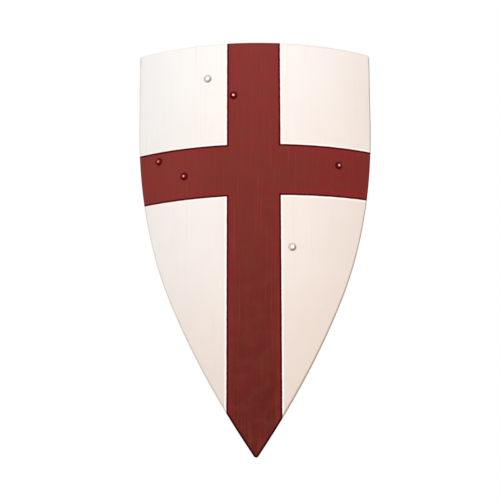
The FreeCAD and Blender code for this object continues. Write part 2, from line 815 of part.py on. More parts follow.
buckle = feature("buckle_frame", wire_ring())
buckle.Placement = buckle_placement
tongue = feature("buckle_tongue", tongue_shape())
tongue.Placement = buckle_placement
roller = new_body("buckle_roller")
roller_bore = "wire_diameter / 2 + roller_clearance"
roller_section = outline_sketch(roller, "roller_section", "XZ_Plane", [
    (roller_bore, "-roller_length / 2"), (roller_bore + " + roller_wall", "-roller_length / 2"),
    (roller_bore + " + roller_wall", "roller_length / 2"), (roller_bore, "roller_length / 2"),
])
revolve(roller, roller_section)
roller.Placement = buckle_placement.multiply(
    FreeCAD.Placement(V(size("frame_reach"), 0, 0), FreeCAD.Rotation(V(1, 0, 0), 90)))
parts += [buckle, tongue, roller]


def keeper_shape():
    """Leather loop round the chape and the tail; its lower web lies against the chape."""
    wall = size("keeper_wall")
    clear = size("keeper_clearance")
    length = size("keeper_length")
    half = arm_line.width / 2 + clear
    low = 2 * bar_height - leather / 2
    first = size("keeper_place") - length / 2
    # the tail is highest in the keeper at the end nearer the buckle
    highest_share = (first + length - crown_start) / (slope_middle - crown_start)
    high = rest + (tail_height - rest) / 2 * highest_share + leather / 2 + clear
    corner = V(first, -half - wall, low - wall)
    outer = Part.makeBox(length, 2 * (half + wall), high - low + 2 * wall, corner)
    long_edges = [e for e in outer.Edges if abs(e.tangentAt(e.FirstParameter).x) == 1]
    outer = outer.makeFillet(wall, long_edges)
    return outer.cut(Part.makeBox(length, 2 * half, high - low, V(first, -half, low)))


keeper = feature("arm_strap_keeper", keeper_shape())
keeper.Placement = crown_frame
parts.append(keeper)

# Checks and hand-over

doc.recompute()
for item in doc.Objects:
    if any(word in ("Invalid", "Error") for word in item.State):
        raise RuntimeError(f"{item.Label} could not be worked out: {item.State}")
os.makedirs("parts", exist_ok=True)
for item in parts:
    shape = item.Shape
    if shape.isNull() or not shape.isValid() or len(shape.Solids) != 1:
        raise RuntimeError(f"{item.Label} is not one sound solid")
    shape.exportStep(f"parts/{item.Label}.step")
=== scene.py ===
"""A heater shield of bent plywood with a red cross, seen from the front and a little from below.

Metres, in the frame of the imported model: the face looks along -Y, +Z is up. A place on the board is given
as its distance along the curved face from the middle line, and its rise above the origin.
"""

import math
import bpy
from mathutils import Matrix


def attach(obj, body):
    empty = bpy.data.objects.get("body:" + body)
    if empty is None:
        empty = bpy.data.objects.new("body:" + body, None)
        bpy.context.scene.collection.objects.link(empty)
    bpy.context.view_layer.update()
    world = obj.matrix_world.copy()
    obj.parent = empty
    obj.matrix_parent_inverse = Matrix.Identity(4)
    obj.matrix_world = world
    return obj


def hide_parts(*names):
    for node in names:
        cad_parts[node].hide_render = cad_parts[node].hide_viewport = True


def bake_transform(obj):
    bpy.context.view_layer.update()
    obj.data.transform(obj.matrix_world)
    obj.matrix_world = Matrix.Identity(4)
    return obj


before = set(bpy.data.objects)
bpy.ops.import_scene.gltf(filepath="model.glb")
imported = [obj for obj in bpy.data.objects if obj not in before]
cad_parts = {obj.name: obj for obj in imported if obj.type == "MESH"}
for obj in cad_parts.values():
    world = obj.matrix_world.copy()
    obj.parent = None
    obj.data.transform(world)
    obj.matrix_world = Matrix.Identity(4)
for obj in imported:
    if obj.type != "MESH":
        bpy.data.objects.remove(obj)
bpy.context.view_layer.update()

from types import SimpleNamespace

import bmesh
import bpy
from mathutils import Matrix, Vector

MM = 0.001

# The board
FACE_RADIUS = 350 * MM
PLIES = (2.7 * MM, 2.6 * MM, 2.7 * MM)
INNER_RADIUS = FACE_RADIUS - sum(PLIES)
AXIS_Y = INNER_RADIUS - 42 * MM
HALF_WIDTH = 238.5 * MM
TOP_RISE = 244.5 * MM
CORNER_ROUND = 4 * MM
SHOULDER_RISE = 108 * MM
TIP_DROP = 518.5 * MM
TIP_LEAN = math.radians(34.37)
UPPER_ARC_SHARE = 1.1145
TIP_ROUND = 5 * MM
FACE_EDGE_ROUND = 2.2 * MM
RIM_BAND = 2.4 * MM
BACK_EDGE_ROUND = 1.2 * MM

# The painted cross on the unrolled face: where each edge crosses the middle, and its slope
CROSS_LEFT = (-51.7 * MM, 0.0025)
CROSS_RIGHT = (47.45 * MM, 0.0013)
CROSS_TOP = (49.55 * MM, 0.0116)
CROSS_BOTTOM = (-47.4 * MM, 0.0217)

# Bolts: place along the face and rise, and whether the head lies in the red paint
BOLTS = {
    "grip_upper": (-88 * MM, 178 * MM, False),
    "grip_lower": (-188 * MM, 29.5 * MM, True),
    "wrist_upper": (-39 * MM, 143 * MM, True),
    "wrist_lower": (-134 * MM, -5 * MM, True),
    "arm_upper": (160.5 * MM, 17 * MM, True),
    "arm_lower": (67.5 * MM, -142 * MM, False),
}
HEAD_RADIUS = 7 * MM
HEAD_RIM = 0.7 * MM
HEAD_HEIGHT = 3.4 * MM
HEAD_BEDDING = 0.25 * MM
HEAD_FOOT_SOFTNESS = 0.2 * MM
HEAD_RIM_SOFTNESS = 0.1 * MM
SHANK_RADIUS = 3 * MM
THREAD_REACH = 9 * MM
WASHER_BORE = 3.3 * MM
WASHER_RADIUS = 10 * MM
WASHER_THICKNESS = 1.5 * MM
WASHER_BEDDING = 0.35 * MM
NUT_FLATS = 10 * MM
NUT_HEX_HEIGHT = 5 * MM
NUT_FOOT = 0.35 * MM
NUT_SHOULDER = 0.6 * MM
NUT_DOME_HEIGHT = 4.2 * MM
NUT_DOME_RADIUS = 4.6 * MM
METAL_SOFTNESS = 0.25 * MM

# Straps
BEDDING = 0.3 * MM
HAND_STRAP = dict(leather=3.2 * MM, width=30 * MM, foot=11 * MM, bend=14 * MM, crown=45 * MM,
                  flank=12 * MM, turn=math.radians(72))
ARM_STRAP = dict(leather=2.6 * MM, width=36 * MM, foot=11 * MM, bend=14 * MM, crown=40 * MM,
                 flank=28 * MM, turn=math.radians(80))
STRAPS = {"grip": HAND_STRAP, "wrist": HAND_STRAP, "arm": ARM_STRAP}
STEP = 2 * MM
SLIMMEST = 0.3 * MM
# the radius of a strap's edges, as a share of its thickness and at most of its width
STRAP_EDGE = (0.32, 0.45)
HINGE_LOW = 8.5 * MM
HINGE_HIGH = 19 * MM

# Buckle
WIRE = 4 * MM
FRAME_REACH = 26 * MM
FRAME_INNER_WIDTH = 39 * MM
FRAME_CORNER = 3.3 * MM
ROLLER_CLEARANCE = 0.1 * MM
ROLLER_WALL = 1 * MM
ROLLER_LENGTH = 30 * MM
TONGUE_RADIUS = 1.3 * MM
TONGUE_OVERHANG = 3.5 * MM
TONGUE_CLEARANCE = 0.2 * MM
TONGUE_LOOP = math.tau * 0.94
TONGUE_TAPER = 0.18
LAYER_GAP = 0.2 * MM
TAIL_LIFT = LAYER_GAP * 6
HEEL_PLACE = -4 * MM
CHAPE_RETURN = 18.5 * MM
SLOT_WIDTH = 5.6 * MM
SLOT_REACH = 9 * MM
TAIL_HOLE_WIDTH = 5 * MM
TAIL_HOLE_LENGTH = 15 * MM
TAIL_HOLE_PLACE = 4.2 * MM
TAIL_HOLE_PITCH = 24 * MM
TAIL_TIP = 26 * MM
KEEPER_WALL = 2 * MM
KEEPER_LENGTH = 9 * MM
KEEPER_PLACE = -17 * MM
KEEPER_CLEARANCE = 0.3 * MM
STITCH_PLACE = -11 * MM
STITCH_FIRST = 5 * MM
STITCH_PITCH = 4.6 * MM
STITCH_LENGTH = 3.4 * MM
THREAD_RADIUS = 0.45 * MM


# Places on the curved board


def outward(along):
    angle = along / FACE_RADIUS
    return Vector((math.sin(angle), -math.cos(angle), 0))


def sideways(along):
    angle = along / FACE_RADIUS
    return Vector((math.cos(angle), math.sin(angle), 0))


def on_board(along, rise, radius):
    return Vector((0, AXIS_Y, rise)) + outward(along) * radius


def placed(origin, x_dir, y_dir, z_dir):
    """Matrix with the given origin and square directions."""
    matrix = Matrix((x_dir, y_dir, z_dir)).transposed().to_4x4()
    matrix.translation = origin
    return matrix


def square_frame(origin, x_dir, z_dir):
    """Matrix with the given X and Z directions, made square."""
    z_dir = z_dir.normalized()
    y_dir = z_dir.cross(x_dir).normalized()
    return placed(origin, y_dir.cross(z_dir), y_dir, z_dir)


# Mesh helpers


def linked(name, data):
    obj = bpy.data.objects.new(name, data)
    bpy.context.scene.collection.objects.link(obj)
    return obj


def new_object(name, vertices, faces):
    mesh = bpy.data.meshes.new(name)
    mesh.from_pydata([tuple(v) for v in vertices], [], faces)
    mesh.validate()
    mesh.update()
    mesh.polygons.foreach_set("use_smooth", [True] * len(mesh.polygons))
    return linked(name, mesh)


def outside_out(obj, merged=False):
    """Turns every face so that its front is outside, and joins points that coincide if asked."""
    work = bmesh.new()
    work.from_mesh(obj.data)
    if merged:
        bmesh.ops.remove_doubles(work, verts=work.verts, dist=1e-6)
    bmesh.ops.recalc_face_normals(work, faces=work.faces)
    work.to_mesh(obj.data)
    work.free()
    return obj


def circle(centre, first, second, radius, turns):
    """Points round a centre, in the plane of two square directions."""
    angles = [math.tau * k / turns for k in range(turns)]
    return [centre + first * radius * math.cos(a) + second * radius * math.sin(a) for a in angles]


def wall(low, high, size):
    """Faces between two rings of a size, given the numbers of their first points."""
    return [(low + k, low + (k + 1) % size, high + (k + 1) % size, high + k) for k in range(size)]


def shares(steps, first=1):
    """Equal steps up to 1, from the first one or from 0."""
    return [i / steps for i in range(first, steps + 1)]


def quarter_turns(left, right, low, high, steps, first=0):
    """Quarter turns at a rectangle's corners, as (x, y, cosine, sine); number 0 is the upper right one."""
    corners = [(right, high), (left, high), (left, low), (right, low)]
    for quarter in range(first, first + 4):
        for share in shares(steps, 0):
            angle = math.radians(90 * quarter + 90 * share)
            yield *corners[quarter % 4], math.cos(angle), math.sin(angle)


def set_uv(obj, coordinates, name="lengths"):
    """One map that holds true lengths in metres, given per vertex."""
    layer = obj.data.uv_layers.new(name=name)
    for loop in obj.data.loops:
        layer.data[loop.index].uv = coordinates[loop.vertex_index]


def lathe(name, profile, matrix, merged=False):
    """Turns a profile of (radius, height) about Z; a radius of zero closes that end. The map holds both."""
    turns = 40
    vertices, rings, faces, uvs = [], [], [], []
    for radius, height in profile:
        count = turns if radius else 1
        rings.append(list(range(len(vertices), len(vertices) + count)))
        uvs += [(radius, height)] * count
        for i in range(count):
            angle = math.tau * i / turns
            vertices.append(matrix @ Vector((radius * math.cos(angle), radius * math.sin(angle), height)))
    for low, high in zip(rings, rings[1:]):
        for i in range(turns):
            j = (i + 1) % turns
            if len(low) == 1:
                faces.append((low[0], high[j], high[i]))
            elif len(high) == 1:
                faces.append((low[i], low[j], high[0]))
            else:
                faces.append((low[i], low[j], high[j], high[i]))
    obj = new_object(name, vertices, faces)
    set_uv(obj, uvs)
    return outside_out(obj, merged)


def sweep_faces(count, size, closed=False, base=0):
    """Faces that join rings of the same size; capped at both ends unless they close on themselves."""
    faces = []
    for i in range(count if closed else count - 1):
        faces += wall(base + i * size, base + (i + 1) % count * size, size)
    if not closed:
        faces.append(tuple(base + k for k in reversed(range(size))))
        faces.append(tuple(base + (count - 1) * size + k for k in range(size)))
    return faces


def sweep(name, rings, uvs=None, closed=False):
    faces = sweep_faces(len(rings), len(rings[0]), closed)
    obj = new_object(name, [v for ring in rings for v in ring], faces)
    if uvs:
        set_uv(obj, [uv for ring in uvs for uv in ring])
    return outside_out(obj)


def cut(obj, *tools):
    """Takes the tools' shapes out of a piece for good."""
    for tool in tools:
        modifier = obj.modifiers.new("hole", "BOOLEAN")
        modifier.object = tool
        modifier.solver = "EXACT"
    graph = bpy.context.evaluated_depsgraph_get()
    mesh = bpy.data.meshes.new_from_object(obj.evaluated_get(graph))
    obj.modifiers.clear()
    obj.data = mesh
    for tool in tools:
        bpy.data.objects.remove(tool)
    return obj


# Node materials


class Nodes:
    """Short words for building a tree of nodes."""

    def __init__(self, tree):
        self.tree = tree

    def node(self, kind, settings=None, **inputs):
        made = self.tree.nodes.new(kind)
        for key, value in (settings or {}).items():
            setattr(made, key, value)
        for key, value in inputs.items():
            self.feed(made.inputs[key.replace("_", " ")], value)
        return made

    def feed(self, socket, value):
        if isinstance(value, bpy.types.NodeSocket):
            self.tree.links.new(value, socket)
        else:
            socket.default_value = value

    def filled(self, kind, values, settings=None):
        """The first output of a node whose inputs are given in order."""
        made = self.node(kind, settings)
        for socket, value in zip(made.inputs, values):
            self.feed(socket, value)
        return made.outputs[0]

    def math(self, operation, first, second=0.0, third=0.0, clamp=False):
        settings = {"operation": operation, "use_clamp": clamp}
        return self.filled("ShaderNodeMath", (first, second, third), settings)

    def plus(self, first, second, clamp=False):
        return self.math("ADD", first, second, clamp=clamp)

    def minus(self, first, second):
        return self.math("SUBTRACT", first, second)

    def times(self, first, second):
        return self.math("MULTIPLY", first, second)

    def place(self):
        return self.node("ShaderNodeTexCoord").outputs["Object"]

    def vector(self, x, y):
        return self.node("ShaderNodeCombineXYZ", X=x, Y=y).outputs[0]

    def size(self, vector):
        return self.node("ShaderNodeVectorMath", {"operation": "LENGTH"}, Vector=vector).outputs["Value"]

    def noise(self, vector, scale, detail):
        made = self.node("ShaderNodeTexNoise", Vector=vector, Scale=scale, Detail=detail, Roughness=0.55)
        return made.outputs[0]

    def stretched(self, x, y, x_scale, y_scale, detail):
        """Noise with a scale of its own in each direction."""
        return self.noise(self.vector(self.times(x, x_scale), self.times(y, y_scale)), 1.0, detail)

    def range(self, value, low, high, to_low=0.0, to_high=1.0, smooth=True):
        settings = {"interpolation_type": "SMOOTHSTEP" if smooth else "LINEAR"}
        return self.filled("ShaderNodeMapRange", (value, low, high, to_low, to_high), settings)

    def mix(self, share, first, second):
        made = self.node("ShaderNodeMix", {"data_type": "RGBA"})
        for socket, item in zip((made.inputs[0], made.inputs[6], made.inputs[7]), (share, first, second)):
            self.feed(socket, item)
        return made.outputs[2]


class Surface(Nodes):
    """The nodes of a new material."""

    def __init__(self, name, **inputs):
        self.material = bpy.data.materials.new(name)
        self.material.use_nodes = True
        super().__init__(self.material.node_tree)
        self.shader = self.tree.nodes["Principled BSDF"]
        for socket, value in inputs.items():
            self.paint(socket.replace("_", " "), value)

    def lengths(self, uv_map="lengths"):
        """The unrolled coordinates of the piece, in metres."""
        uv = self.node("ShaderNodeUVMap", {"uv_map": uv_map})
        split = self.node("ShaderNodeSeparateXYZ", Vector=uv.outputs[0])
        return split.outputs[0], split.outputs[1]

    def bump(self, height, distance):
        self.paint("Normal", self.node("ShaderNodeBump", Distance=distance, Height=height).outputs[0])

    def paint(self, socket, value):
        self.feed(self.shader.inputs[socket], value)


def rgb(red, green, blue):
    """A colour of the screen, 0 to 255, as the linear colour that a shader takes."""
    def linear(value):
        share = value / 255
        return share / 12.92 if share <= 0.04045 else ((share + 0.055) / 1.055) ** 2.4
    return (linear(red), linear(green), linear(blue), 1.0)


def darker(colour, share):
    return tuple(c * share for c in colour[:3]) + (1.0,)


WHITE_PAINT = rgb(249, 248, 247)
# the cream colours stand partly for painted shade towards the lower right and the tip
CREAM_AND_SHADE = rgb(231, 218, 209)
TIP_CREAM_AND_SHADE = rgb(215, 197, 185)
CLEAN_WHITE = rgb(251, 248, 245)
STREAK_CREAM = rgb(220, 200, 188)
# dirt and painted shade on the white rim, and painted shade round the bolt heads
WHITE_DIRT_AND_SHADE = rgb(132, 116, 98)
RED_TOP = rgb(132, 51, 47)
RED_LOW = rgb(93, 32, 24)
RED_STREAK = rgb(150, 61, 57)
RED_BROWN = rgb(112, 55, 40)
CRIMSON = rgb(140, 34, 40)
# the paint's dark ridge, dirt and painted shade on the tip's rim, and painted shade round the bolt heads
RED_RIDGE_DIRT_AND_SHADE = rgb(54, 0, 2)

# Where the paint and its painted shade change: across the cross's edge, in from the rim, up or along the
# face, out from a bolt
TAPE_BLEED = (-0.3 * MM, 0.3 * MM)
TAPE_WAVER = 0.9 * MM
RIDGE_STARTS = (0.4 * MM, 1.3 * MM)
RIDGE_ENDS = (2.7 * MM, 4.2 * MM)
CRIMSON_ENDS = (4 * MM, 18 * MM)
CLEAN_BAND = (-4.4 * MM, -2.0 * MM)
# how far in the rim's dirt and painted shade reach, on the sides and at the tip
RIM_DIRT_AND_SHADE = (2.4 * MM, 4.5 * MM)
TIP_DIRT_AND_SHADE = (3.2 * MM, 4.5 * MM)
TIP_DIRT_AND_SHADE_RISE = (-380 * MM, -340 * MM)
TOP_EDGE_RISE = (TOP_RISE - 8 * MM, TOP_RISE - 4 * MM)
TIP_CREAM_AND_SHADE_RISE = (-120 * MM, -450 * MM)
# the painted shade on the rim grows to the right, away from the light
RIGHT_SHADE_PLACE = (-40 * MM, 60 * MM)
RIGHT_ARM_PLACE = (50 * MM, 150 * MM)
LEFT_ARM_PLACE = (-50 * MM, -150 * MM)
# how far the painted shade round a bolt head's foot reaches
FOOT_SHADE_REACH = (HEAD_RADIUS - 0.5 * MM, HEAD_RADIUS + 1.3 * MM)


def inside_cross(n, along, rise):
    """Distance to the nearest edge of the cross, positive inside it."""
    def edge(place, other):
        return n.math("MULTIPLY_ADD", other, place[1], place[0])
    upright = n.math("MINIMUM", n.minus(along, edge(CROSS_LEFT, rise)),
                     n.minus(edge(CROSS_RIGHT, rise), along))
    arm = n.math("MINIMUM", n.minus(rise, edge(CROSS_BOTTOM, along)),
                 n.minus(edge(CROSS_TOP, along), rise))
    # the edges follow the masking tape to a few tenths of a millimetre
    waver = n.times(n.minus(n.noise(n.vector(along, rise), 60.0, 2.0), 0.5), TAPE_WAVER)
    return n.plus(n.math("MAXIMUM", upright, arm), waver)


def bolt_foot_shade(n, along, rise, bolt):
    """Painted shade round the foot of one bolt head, strongest against it."""
    distance = n.size(n.vector(n.minus(along, bolt[0]), n.minus(rise, bolt[1])))
    return n.range(distance, *FOOT_SHADE_REACH, 0.75, 0.0)


def white_side(n, along, rise, inside, inset, streaks):
    """The white turns creamier and darker to the lower right and towards the tip, partly paint tone and
    partly painted shade away from the upper-left light, and is cleanest along the cross.
    """
    clouds = n.noise(n.vector(along, rise), 9.0, 3.0)
    # creamier and darker to the lower right: partly paint tone, partly painted shade
    warm_and_shade = n.range(n.minus(n.times(along, 1.6), rise), -0.55, 0.5, smooth=False)
    warm_and_shade = n.plus(warm_and_shade, n.times(n.minus(clouds, 0.5), 0.3), clamp=True)
    white = n.mix(warm_and_shade, WHITE_PAINT, CREAM_AND_SHADE)
    white = n.mix(n.range(rise, *TIP_CREAM_AND_SHADE_RISE, 0.0, 0.35), white, TIP_CREAM_AND_SHADE)
    white = n.mix(n.range(streaks, 0.52, 0.8, 0.0, 0.22), white, STREAK_CREAM)
    white = n.mix(n.range(inside, *CLEAN_BAND, 0.0, 0.9), white, CLEAN_WHITE)
    # dirt and painted shade on the rounded rim: darkest on the right, away from the upper-left light, and
    # faint on the top edge
    rim_dirt_and_shade = n.times(n.range(inset, *RIM_DIRT_AND_SHADE, 1.0, 0.0), n.range(rise, *TOP_EDGE_RISE, 1.0, 0.15))
    return n.mix(n.times(rim_dirt_and_shade, n.range(along, *RIGHT_SHADE_PLACE, 0.2, 0.7)), white, WHITE_DIRT_AND_SHADE)


def red_side(n, along, rise, inside, inset, streaks, grain):
    """The red darkens towards the lower right, partly paint tone and partly painted shade away from the
    upper-left light, with brown and crimson patches.
    """
    blotches = n.noise(n.vector(along, rise), 38.0, 3.0)
    patches = n.noise(n.vector(rise, along), 30.0, 3.0)
    # darker to the lower right: partly paint tone, partly painted shade
    deeper_and_shaded = n.range(n.minus(n.times(along, 0.6), rise), -0.25, 0.44, smooth=False)
    red = n.mix(deeper_and_shaded, RED_TOP, RED_LOW)
    red = n.mix(n.range(blotches, 0.42, 0.66, 0.0, 0.3), red, RED_BROWN)
    # more crimson near its edges and along the right arm; lighter along the left arm, partly paint tone and
    # partly painted light on the side towards the lamp
    crimson = n.plus(n.range(patches, 0.45, 0.65, 0.0, 0.15), n.range(inside, *CRIMSON_ENDS, 0.36, 0.0))
    crimson = n.plus(crimson, n.range(along, *RIGHT_ARM_PLACE, 0.0, 0.22))
    red = n.mix(crimson, red, CRIMSON)
    red = n.mix(n.range(along, *LEFT_ARM_PLACE, 0.0, 0.28), red, RED_STREAK)
    red = n.mix(n.range(streaks, 0.5, 0.8, 0.0, 0.45), red, RED_STREAK)
    red = n.mix(n.range(grain, 0.5, 0.75, 0.0, 0.35), red, RED_LOW)
    # it stands thicker and darker along the tape line; the rim of the tip gets dirt and painted shade
    ridge = n.times(n.range(inside, *RIDGE_STARTS), n.range(inside, *RIDGE_ENDS, 1.0, 0.0))
    tip_rim = n.times(n.range(inset, *TIP_DIRT_AND_SHADE, 1.0, 0.0), n.range(rise, *TIP_DIRT_AND_SHADE_RISE, 0.95, 0.2))
    return n.mix(n.math("MAXIMUM", ridge, tip_rim), red, RED_RIDGE_DIRT_AND_SHADE)


def painted_face():
    """White paint with the red cross, brushed up and down over bent plywood."""
    n = Surface("painted_face", Specular_IOR_Level=0.05)
    along, rise = n.lengths()
    inset, _ = n.lengths("rim")
    # the brush and the grain run upright: fine along the face, long up it
    streaks = n.stretched(along, rise, 300.0, 5.0, 5.0)
    grain = n.stretched(along, rise, 1100.0, 16.0, 3.0)
    inside = inside_cross(n, along, rise)
    red_share = n.range(inside, *TAPE_BLEED)
    colour = n.mix(red_share, white_side(n, along, rise, inside, inset, streaks),
                   red_side(n, along, rise, inside, inset, streaks, grain))
    shade = n.mix(red_share, WHITE_DIRT_AND_SHADE, RED_RIDGE_DIRT_AND_SHADE)
    # painted shade round the foot of each bolt head
    for bolt in BOLTS.values():
        colour = n.mix(bolt_foot_shade(n, along, rise, bolt), colour, shade)
    n.paint("Base Color", colour)
    n.paint("Roughness", n.range(streaks, 0.2, 0.8, 0.48, 0.62))
    height = n.plus(n.times(streaks, 0.6), n.times(grain, 0.3))
    n.bump(n.plus(height, n.times(red_share, 0.25)), 0.2 * MM)
    return n.material


def plywood(name, light, dark, roughness):
    """Varnished rotary-cut veneer: wandering growth lines, fine upright fibres and short pores."""
    n = Surface(name, Specular_IOR_Level=0.4)
    along, rise = n.lengths()
    wander = n.stretched(along, rise, 4.5, 0.9, 2.0)
    ripple = n.stretched(along, rise, 40.0, 5.0, 3.0)
    growth = n.plus(n.times(wander, 130.0), n.times(ripple, 5.0))
    lines = n.math("SINE", n.math("MULTIPLY_ADD", along, 60.0, growth))
    lines = n.math("POWER", n.math("MULTIPLY_ADD", lines, 0.5, 0.5), 1.8)
    fibre = n.stretched(along, rise, 700.0, 9.0, 5.0)
    pores = n.range(n.stretched(along, rise, 1900.0, 60.0, 2.0), 0.62, 0.72)
    clouds = n.noise(n.vector(along, rise), 5.0, 3.0)
    share = n.plus(n.times(lines, 0.4), n.range(fibre, 0.3, 0.75, 0.0, 0.5), clamp=True)
    colour = n.mix(share, light, dark)
    colour = n.mix(n.range(clouds, 0.3, 0.75, 0.0, 0.22), colour, dark)
    n.paint("Base Color", n.mix(n.times(pores, 0.45), colour, darker(dark, 0.35)))
    n.paint("Roughness", n.range(fibre, 0.3, 0.7, roughness - 0.06, roughness + 0.1))
    n.bump(n.minus(fibre, n.times(pores, 0.6)), 0.12 * MM)
    return n.material


# How far out from the middle of a bolt head the bright metal of the painted highlight shows and the painted
# shade lies, and how raggedly
RUBBED_HIGHLIGHT_REACH = (0.9 * MM, 2.7 * MM)
HEAD_SHADE = (2.2 * MM, 4.4 * MM)
HEAD_MARK_WAVER = 1.4 * MM


def bolt_paint(name, colour, shaded, shade, bare_highlight):
    """The face's paint over a bolt head: painted shade round its rim, darker on the lower right away from
    the light, and rubbed to bright metal on the crown as a painted highlight.
    """
    n = Surface(name, Specular_IOR_Level=0.05)
    radius, _ = n.lengths()
    blotches = n.noise(n.place(), 420.0, 4.0)
    ragged_radius = n.plus(radius, n.times(n.minus(blotches, 0.5), HEAD_MARK_WAVER))
    # the crown shows bright metal, a fixed painted highlight
    rubbed_highlight = n.range(ragged_radius, *RUBBED_HIGHLIGHT_REACH, 1.0, 0.0)
    normal = n.node("ShaderNodeNewGeometry").outputs["Normal"]
    facing = n.node("ShaderNodeSeparateXYZ", Vector=normal).outputs
    under = n.times(n.minus(facing[0], facing[2]), 0.7)
    # painted shade round the head's rim, darker still on the lower right, away from the light
    rim = n.range(ragged_radius, *HEAD_SHADE)
    painted = n.mix(rim, colour, shaded)
    painted = n.mix(n.times(rim, n.range(under, 0.0, 0.45)), painted, shade)
    n.paint("Base Color", n.mix(rubbed_highlight, painted, bare_highlight))
    n.paint("Metallic", rubbed_highlight)
    n.paint("Roughness", n.range(blotches, 0.3, 0.7, 0.3, 0.44))
    n.bump(n.minus(blotches, n.times(rubbed_highlight, 0.8)), 0.08 * MM)
    return n.material


def plated_steel(name, colour, roughness):
    """Zinc or nickel plate: faint cloudiness and fine scratches."""
    n = Surface(name, Metallic=1.0)
    clouds = n.noise(n.place(), 180.0, 4.0)
    stretched = n.node("ShaderNodeMapping", Vector=n.place(), Scale=(1.0, 0.08, 1.0)).outputs[0]
    scratches = n.noise(stretched, 2600.0, 2.0)
    n.paint("Base Color", n.mix(n.range(clouds, 0.3, 0.7), colour, darker(colour, 0.72)))
    n.paint("Roughness", n.range(clouds, 0.3, 0.7, roughness - 0.07, roughness + 0.1))
    n.bump(n.plus(scratches, n.times(clouds, 0.6)), 0.03 * MM)
    return n.material


TANNED, TANNED_DEEP, SCUFFED = rgb(122, 74, 42), rgb(88, 50, 28), rgb(140, 92, 56)
CREASE_BROWN, EDGE_BROWN = rgb(48, 26, 15), rgb(44, 25, 16)
CREASE_INSET = 2.6 * MM
CREASE_HALF_WIDTH = 0.5 * MM
BURNISHED = (0.1 * MM, 1.1 * MM)


def leather_material(name, width):
    """Vegetable-tanned strap leather: pores, a creased line along each edge and dark burnished edges."""
    n = Surface(name, Specular_IOR_Level=0.45)
    length, across = n.lengths()
    place = n.vector(length, across)
    clouds = n.noise(place, 45.0, 4.0)
    pores = n.node("ShaderNodeTexVoronoi", {"feature": "DISTANCE_TO_EDGE"}, Vector=place, Scale=900.0)
    wrinkles = n.stretched(length, across, 380.0, 60.0, 3.0)
    from_edge = n.minus(width / 2, n.math("ABSOLUTE", across))
    from_crease = n.math("ABSOLUTE", n.minus(from_edge, CREASE_INSET))
    crease = n.range(from_crease, 0.0, CREASE_HALF_WIDTH, 1.0, 0.0)
    colour = n.mix(n.range(clouds, 0.3, 0.72), TANNED, TANNED_DEEP)
    colour = n.mix(n.range(wrinkles, 0.55, 0.8, 0.0, 0.4), colour, SCUFFED)
    colour = n.mix(n.times(crease, 0.55), colour, CREASE_BROWN)
    n.paint("Base Color", n.mix(n.range(from_edge, *BURNISHED, 0.8, 0.0), colour, EDGE_BROWN))
    n.paint("Roughness", n.range(clouds, 0.3, 0.7, 0.42, 0.58))
    height = n.plus(n.range(pores.outputs[0], 0.0, 0.12, 0.0, 0.5), n.times(wrinkles, 0.4))
    n.bump(n.minus(height, crease), 0.18 * MM)
    return n.material


def thread_material():
    n = Surface("waxed_thread", Roughness=0.6)
    n.paint("Base Color", n.mix(n.noise(n.place(), 1500.0, 2.0), rgb(206, 190, 156), rgb(150, 128, 92)))
    return n.material


def give(obj, material):
    obj.data.materials.append(material)
    return obj


FACE = painted_face()
BACK_VENEER = plywood("back_veneer", rgb(206, 168, 120), rgb(160, 112, 68), 0.5)
RIM_WOOD = plywood("rim_wood", rgb(158, 126, 96), rgb(112, 82, 58), 0.65)
# colours: paint, painted shade at the rim, darker painted shade on the lower right, and the bright metal of
# the painted highlight
RED_HEAD = bolt_paint("red_bolt_paint", rgb(120, 24, 24), rgb(88, 2, 6), rgb(66, 0, 2), rgb(240, 160, 154))
WHITE_HEAD = bolt_paint("white_bolt_paint", rgb(244, 242, 239), rgb(206, 200, 196), rgb(146, 138, 128),
                        rgb(248, 245, 241))
ZINC = plated_steel("zinc_plate", (0.62, 0.62, 0.60, 1.0), 0.34)
NICKEL = plated_steel("nickel_plate", (0.66, 0.63, 0.58, 1.0), 0.24)
HAND_LEATHER = leather_material("leather_30", HAND_STRAP["width"])
ARM_LEATHER = leather_material("leather_36", ARM_STRAP["width"])
KEEPER_LEATHER = leather_material("leather_9", KEEPER_LENGTH)
THREAD = thread_material()


# The board: three plies with the rim square to the curve


def lower_arcs():
    """Shoulder arc, long arc and tip arc of the right half, as (centre, radius, least distance along)."""
    # The first two are found TIP_ROUND further in, from the lengths of their tangents.
    begin = Vector((HALF_WIDTH - TIP_ROUND, SHOULDER_RISE))
    finish = Vector((0, TIP_ROUND - TIP_DROP))
    down = Vector((0, -1))
    leaning = Vector((-math.sin(TIP_LEAN), -math.cos(TIP_LEAN)))
    chord = finish - begin
    bow = 2 * UPPER_ARC_SHARE * (1 - math.cos(TIP_LEAN))
    run = chord.dot(down * UPPER_ARC_SHARE + leaning)
    lower = (math.sqrt(run**2 + bow * chord.dot(chord)) - run) / bow
    upper = UPPER_ARC_SHARE * lower
    joint = ((begin + down * upper) * lower + (finish - leaning * lower) * upper) / (upper + lower)
    turn = 2 * math.atan2(begin.x - joint.x, begin.y - joint.y)
    upper_radius, lower_radius = upper / math.tan(turn / 2), lower / math.tan((TIP_LEAN - turn) / 2)
    upper_centre = begin - Vector((upper_radius, 0))
    lower_centre = joint - Vector((math.cos(turn), -math.sin(turn))) * lower_radius
    return [
        (upper_centre, upper_radius + TIP_ROUND, joint.x + TIP_ROUND * math.cos(turn)),
        (lower_centre, lower_radius + TIP_ROUND, TIP_ROUND * math.cos(TIP_LEAN)),
        (finish, TIP_ROUND, 0),
    ]


LOWER_ARCS = lower_arcs()


